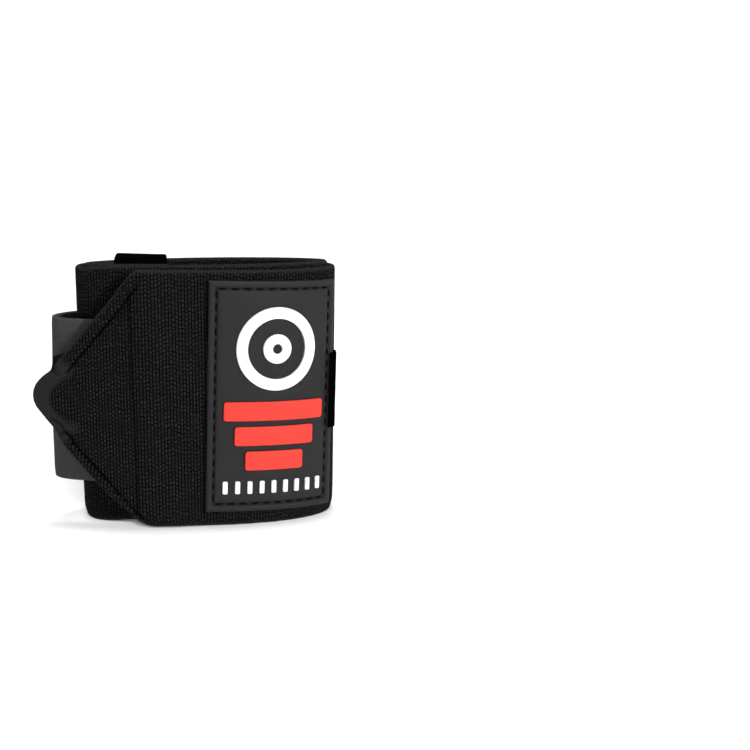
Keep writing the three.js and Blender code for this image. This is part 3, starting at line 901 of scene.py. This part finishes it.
def art_ring(name, middle, height, inner_radius, outer_radius):
    turn = np.linspace(0, 2 * math.pi, 72, endpoint=False)
    radius = graded(outer_radius - inner_radius, (0.0, 0.06, 0.15, 0.3, 0.5), 0.8) + inner_radius
    turn2, radius2 = np.meshgrid(turn, radius, indexing="ij")
    distance = np.minimum(radius2 - inner_radius, outer_radius - radius2)
    rise = ART_THICKNESS * (0.45 + 0.55 * rounded(distance, 0.3))
    base = LABEL_THICKNESS + CLEARANCE * 0.2
    place = (middle - radius2 * np.sin(turn2), height + radius2 * np.cos(turn2))
    outer = on_label(*place, base + CLEARANCE * 0.8 + rise)
    inner = on_label(*place, np.full(turn2.shape, base))
    return sheet_mesh(name, inner, outer, closed=True)


def make_artwork():
    white = rubber_material("label_white", (0.64, 0.64, 0.63, 1), 0.5, 0.02)
    red = rubber_material("label_red", (0.56, 0.036, 0.026, 1), 0.5, 0.04)
    middle = LABEL_WIDTH / 2
    bottom = BORDER_WIDTH + ART_MARGIN
    for index in range(TICK_COUNT):
        along = middle + TICK_PITCH * (index - (TICK_COUNT - 1) / 2)
        block = art_block(f"tick_{index + 1}", along, bottom + TICK[1] / 2, TICK, 0.4)
        dress(block, white, "label_white", f"label_tick_{index + 1}")
    bottom += TICK[1] + ART_GAP
    for index, length in enumerate(BAR_LENGTHS):
        block = art_block(f"bar_{index + 1}", middle, bottom + BAR_HEIGHT / 2, (length, BAR_HEIGHT))
        dress(block, red, "label_red", f"label_bar_{index + 1}")
        bottom += BAR_HEIGHT + BAR_GAP
    height = bottom - BAR_GAP + ART_GAP + PLATE_RADIUS
    rim = art_ring("plate_rim", middle, height, PLATE_RADIUS - PLATE_RIM_WIDTH, PLATE_RADIUS)
    dress(rim, white, "label_white", "label_plate_rim")
    hub = art_ring("plate_hub", middle, height, HUB_HOLE_RADIUS, HUB_RADIUS)
    dress(hub, white, "label_white", "label_plate_hub")


make_artwork()


# The side tag

def make_tag():
    past = graded(TAG_ON_LABEL + TAG_PAST_LABEL, (0.0, 0.06, 0.2, 0.4), 0.4) - TAG_ON_LABEL
    up = graded(TAG_HEIGHT, (0.0, 0.06, 0.2, 0.4), 1.5)
    past2, up2 = np.meshgrid(past, up, indexing="ij")
    down = smooth(past2, CLEARANCE, TAG_DOWN_BY)
    base = (CLEARANCE + LABEL_THICKNESS + BORDER_HEIGHT) * (1 - down)
    ends = np.minimum(past2 + TAG_ON_LABEL, TAG_PAST_LABEL - past2)
    distance = np.minimum.reduce([ends, up2, TAG_HEIGHT - up2])
    upwards = TAG_BOTTOM - LABEL_BOTTOM + up2
    top = base + TAG_THICKNESS * (0.4 + 0.6 * rounded(distance, 0.25))
    outer = on_label(LABEL_WIDTH + past2, upwards, top)
    inner = on_label(LABEL_WIDTH + past2, upwards, base)
    return sheet_mesh("tag_cloth", outer, inner, False, np.stack([past2, up2, distance], -1))


dress(make_tag(), ribbon_material("tag_weave", 0.5, 4), "tag_ribbon", "side_tag")


# Stitches

def stitch_mesh(name, starts, ends, outwards, radius):
    """Short round-ended threads from start to end, each bowed outwards, as one piece."""
    sides, rings = 7, 8
    turn = np.linspace(0, 2 * math.pi, sides, endpoint=False)
    vertices, faces = [], []
    for start, end, outward in zip(starts, ends, outwards):
        along = end - start
        size = np.linalg.norm(along)
        along = along / size
        outward = outward - along * (outward @ along)
        outward /= np.linalg.norm(outward)
        across = np.cross(along, outward)
        base = len(vertices)
        for ring in range(rings + 1):
            share = 0.02 + 0.96 * ring / rings
            width = radius * math.sqrt(max(0.05, 1 - abs(2 * share - 1) ** 3))
            middle = start + along * size * share + outward * radius * (math.sin(math.pi * share) - 0.3)
            for angle in turn:
                vertices.append(middle + (across * math.cos(angle) + outward * math.sin(angle)) * width)
        for ring in range(rings):
            for side in range(sides):
                a = base + ring * sides + side
                b = base + ring * sides + (side + 1) % sides
                faces.append((a, b, b + sides, a + sides))
        faces.append(tuple(base + side for side in reversed(range(sides))))
        faces.append(tuple(base + rings * sides + side for side in range(sides)))
    mesh = bpy.data.meshes.new(name)
    mesh.from_pydata([tuple(v * MM) for v in vertices], [], faces)
    mesh.polygons.foreach_set("use_smooth", np.ones(len(faces), bool))
    mesh.update()
    piece = bpy.data.objects.new(name, mesh)
    bpy.context.scene.collection.objects.link(piece)
    return piece


def run_of_stitches(first, last, pitch, cover):
    """Shares of a straight run where each stitch starts and ends."""
    size = math.dist(first, last)
    count = max(1, round(size / pitch))
    starts = (np.arange(count) + (1 - cover) / 2) / count
    return starts, starts + cover / count


def label_stitches():
    inset = BORDER_WIDTH + LABEL_GROOVE_PAST_BORDER
    corners = [
        (inset, inset), (LABEL_WIDTH - inset, inset),
        (LABEL_WIDTH - inset, LABEL_HEIGHT - inset), (inset, LABEL_HEIGHT - inset),
    ]
    level = LABEL_THICKNESS - LABEL_GROOVE + 0.15
    starts, ends, outwards = [], [], []
    for first, last in zip(corners, corners[1:] + corners[:1]):
        for low, high in zip(*run_of_stitches(first, last, LABEL_STITCH, LABEL_STITCH_COVER)):
            spots = [np.array(first) + (np.array(last) - first) * share for share in (low, high)]
            pair = [on_label(spot[0:1], spot[1:2], np.array([level]))[0] for spot in spots]
            raised = on_label(spots[0][0:1], spots[0][1:2], np.array([level + 1]))[0]
            starts.append(pair[0])
            ends.append(pair[1])
            outwards.append(raised - pair[0])
    return stitch_mesh("label_stitches", starts, ends, outwards, 0.3)


def on_flap(length, off_centre, outside):
    """One place on the outer face of the pointed end."""
    height = np.array([float(flap_centre(length)) + off_centre])
    spot, _, outward = band_line.at(np.array([length]))
    return stand(spot, outward, np.array([BAND_THICKNESS / 2 + outside]), height)[0]


def flap_stitches():
    """One run of stitches down the seam of the pointed end."""
    reach = BAND_WIDTH / 2 - SEAM_FROM_EDGE
    lean = SEAM_LEAN * reach
    line = PlanLine(np.array([(SEAM_LINE + lean, -reach), (SEAM_LINE - lean, reach)]))
    size = line.lengths[-1]
    level = 0.02 - SEAM_DEPTH
    starts, ends, outwards = [], [], []
    for low, high in zip(*run_of_stitches((0, 0), (size, 0), SEAM_STITCH, SEAM_STITCH_COVER)):
        first, last = (line.spot(share * size) for share in (low, high))
        starts.append(on_flap(*first, level))
        ends.append(on_flap(*last, level))
        outwards.append(on_flap(*first, level + 1) - starts[-1])
    return stitch_mesh("flap_stitches", starts, ends, outwards, 0.24)


thread = thread_material()
dress(label_stitches(), thread, "tag_ribbon")
dress(flap_stitches(), thread, "elastic")


# The stage, lights and camera

# Sizes of the stage are in metres
FLOOR_RADIUS = 3.0
FLOOR_CURVE = 0.4
FLOOR_HOLE = 0.02
FLOOR_TURNS = 96
CURVE_STEPS = 10
WALL_HEIGHT = 0.8
WALL_GLOW_FULL = 0.05
WORLD_STRENGTH = 0.15

# The camera that was fitted to the photograph, in degrees and millimetres from the roll's middle
CAMERA_TURN = (11.521, -9.821, 0.902)
CAMERA_PLACE = (-50.40, -510.03, 133.69)
FOCAL_PIXELS = 1626
PHOTO_PIXELS = 750
SENSOR = 36


def make_floor():
    """A round floor whose far edge curves up into a low wall, which glows so that it stays white."""
    turn = np.linspace(0, 2 * math.pi, FLOOR_TURNS, endpoint=False)
    curve = np.linspace(0, math.pi / 2, CURVE_STEPS)
    far = FLOOR_RADIUS + FLOOR_CURVE
    reach = np.concatenate([[FLOOR_HOLE, 1.0], FLOOR_RADIUS + FLOOR_CURVE * np.sin(curve), [far]])
    rise = np.concatenate([[0, 0], FLOOR_CURVE * (1 - np.cos(curve)), [WALL_HEIGHT]])
    rises = np.broadcast_to(rise, (FLOOR_TURNS, len(rise)))
    places = np.stack([np.sin(turn)[:, None] * reach, np.cos(turn)[:, None] * reach, rises], -1)
    index = np.arange(rises.size).reshape(rises.shape)
    index = np.concatenate([index, index[:1]])
    faces = np.stack([index[:-1, :-1], index[:-1, 1:], index[1:, 1:], index[1:, :-1]], -1).reshape(-1, 4)
    faces = faces.tolist() + [index[:-1, 0].tolist()]
    mesh = bpy.data.meshes.new("floor")
    mesh.from_pydata(places.reshape(-1, 3).tolist(), [], faces)
    mesh.polygons.foreach_set("use_smooth", np.ones(len(faces), bool))
    mesh.update()
    floor = bpy.data.objects.new("floor", mesh)
    bpy.context.scene.collection.objects.link(floor)
    n = Nodes("pale_floor")
    cloud = n.noise(n.position(), 3.0)
    color = n.mix(cloud, (0.9, 0.9, 0.9, 1), (0.93, 0.93, 0.93, 1))
    _, _, height = n.split(n.position())
    glow = n.remap(height, 0.0, WALL_GLOW_FULL)
    floor.data.materials.append(n.finish(color, None, 0.9, specular=0.1, glow=glow))


def soft_sun(name, azimuth, elevation, spread, strength):
    """Even light from far away. Azimuth 0 comes from the front, 90 from the right."""
    data = bpy.data.lights.new(name, "SUN")
    data.angle = math.radians(spread)
    data.energy = strength
    light = bpy.data.objects.new(name, data)
    turn, rise = math.radians(azimuth), math.radians(elevation)
    source = Vector((math.sin(turn) * math.cos(rise), -math.cos(turn) * math.cos(rise), math.sin(rise)))
    light.rotation_euler = (-source).to_track_quat("-Z", "Y").to_euler()
    bpy.context.scene.collection.objects.link(light)
    return light


def make_lights():
    world = bpy.data.worlds.new("studio")
    world.use_nodes = True
    background = world.node_tree.nodes["Background"].inputs
    background["Color"].default_value = (1, 1, 1, 1)
    background["Strength"].default_value = WORLD_STRENGTH
    bpy.context.scene.world = world
    # The floor and the wrap have lights of their own, so that the floor stays even and white
    wrap, floor = bpy.data.collections.new("wrap"), bpy.data.collections.new("floor")
    for piece in bpy.context.scene.objects:
        if piece.type == "MESH":
            (floor if piece.name == "floor" else wrap).objects.link(piece)
    soft_sun("key", 33, 20, 5, 3.5).light_linking.receiver_collection = wrap
    soft_sun("top", 180, 84, 40, 3.6).light_linking.receiver_collection = wrap
    soft_sun("floor_front", -6, 25, 30, 5.0).light_linking.receiver_collection = floor
    soft_sun("floor_top", 180, 86, 14, 1.6).light_linking.receiver_collection = floor


def make_camera():
    yaw, pitch, roll = (math.radians(angle) for angle in CAMERA_TURN)
    forward = Vector((math.sin(yaw) * math.cos(pitch), math.cos(yaw) * math.cos(pitch), math.sin(pitch)))
    right = Vector((math.cos(yaw), -math.sin(yaw), 0))
    up = right.cross(forward)
    across = math.cos(roll) * right + math.sin(roll) * up
    upward = -math.sin(roll) * right + math.cos(roll) * up
    data = bpy.data.cameras.new("camera")
    data.sensor_width = SENSOR
    data.lens = SENSOR * FOCAL_PIXELS / PHOTO_PIXELS
    data.clip_start = 0.01
    camera = bpy.data.objects.new("camera", data)
    place = Vector(CAMERA_PLACE) * MM + Vector((*ROLL_CENTRE, 0)) * MM
    turned = Matrix((across, upward, -forward)).transposed()
    camera.matrix_world = Matrix.Translation(place) @ turned.to_4x4()
    bpy.context.scene.collection.objects.link(camera)
    bpy.context.scene.camera = camera


make_floor()
make_lights()
make_camera()
bpy.context.scene.view_settings.view_transform = "Standard"
